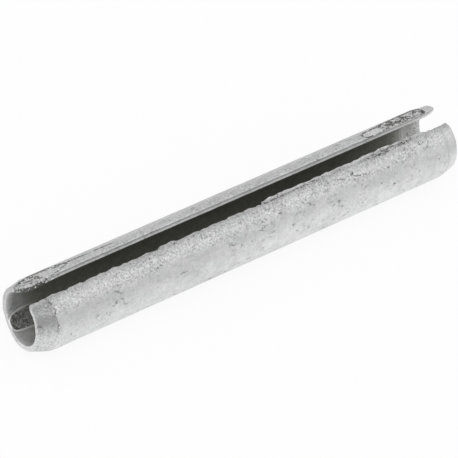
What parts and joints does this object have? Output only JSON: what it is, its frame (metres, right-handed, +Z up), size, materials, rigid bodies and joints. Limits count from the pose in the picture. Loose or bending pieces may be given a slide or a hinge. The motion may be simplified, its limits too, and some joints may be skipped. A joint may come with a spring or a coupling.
{
  "type": "slotted spring pin",
  "caption": "Slotted spring pin: steel strip rolled into an open tube with a straight slot and tapered ends, driven into a drilled hole to lock two parts together.",
  "frame": {"origin": "on the axis of the shank, at the middle of the length", "axes": "+X along the axis, +Z up through the middle of the slot, with the pin lying on its back"},
  "size_m": [0.06, 0.0086, 0.0084],
  "materials": {
    "zinc_coated_steel": "rough light grey zinc coat, matt to satin, smoother on the swaged ends, dark in the bore"
  },
  "bodies": {
    "root": {"slotted_pin": "zinc_coated_steel"}
  },
  "joints": []
}
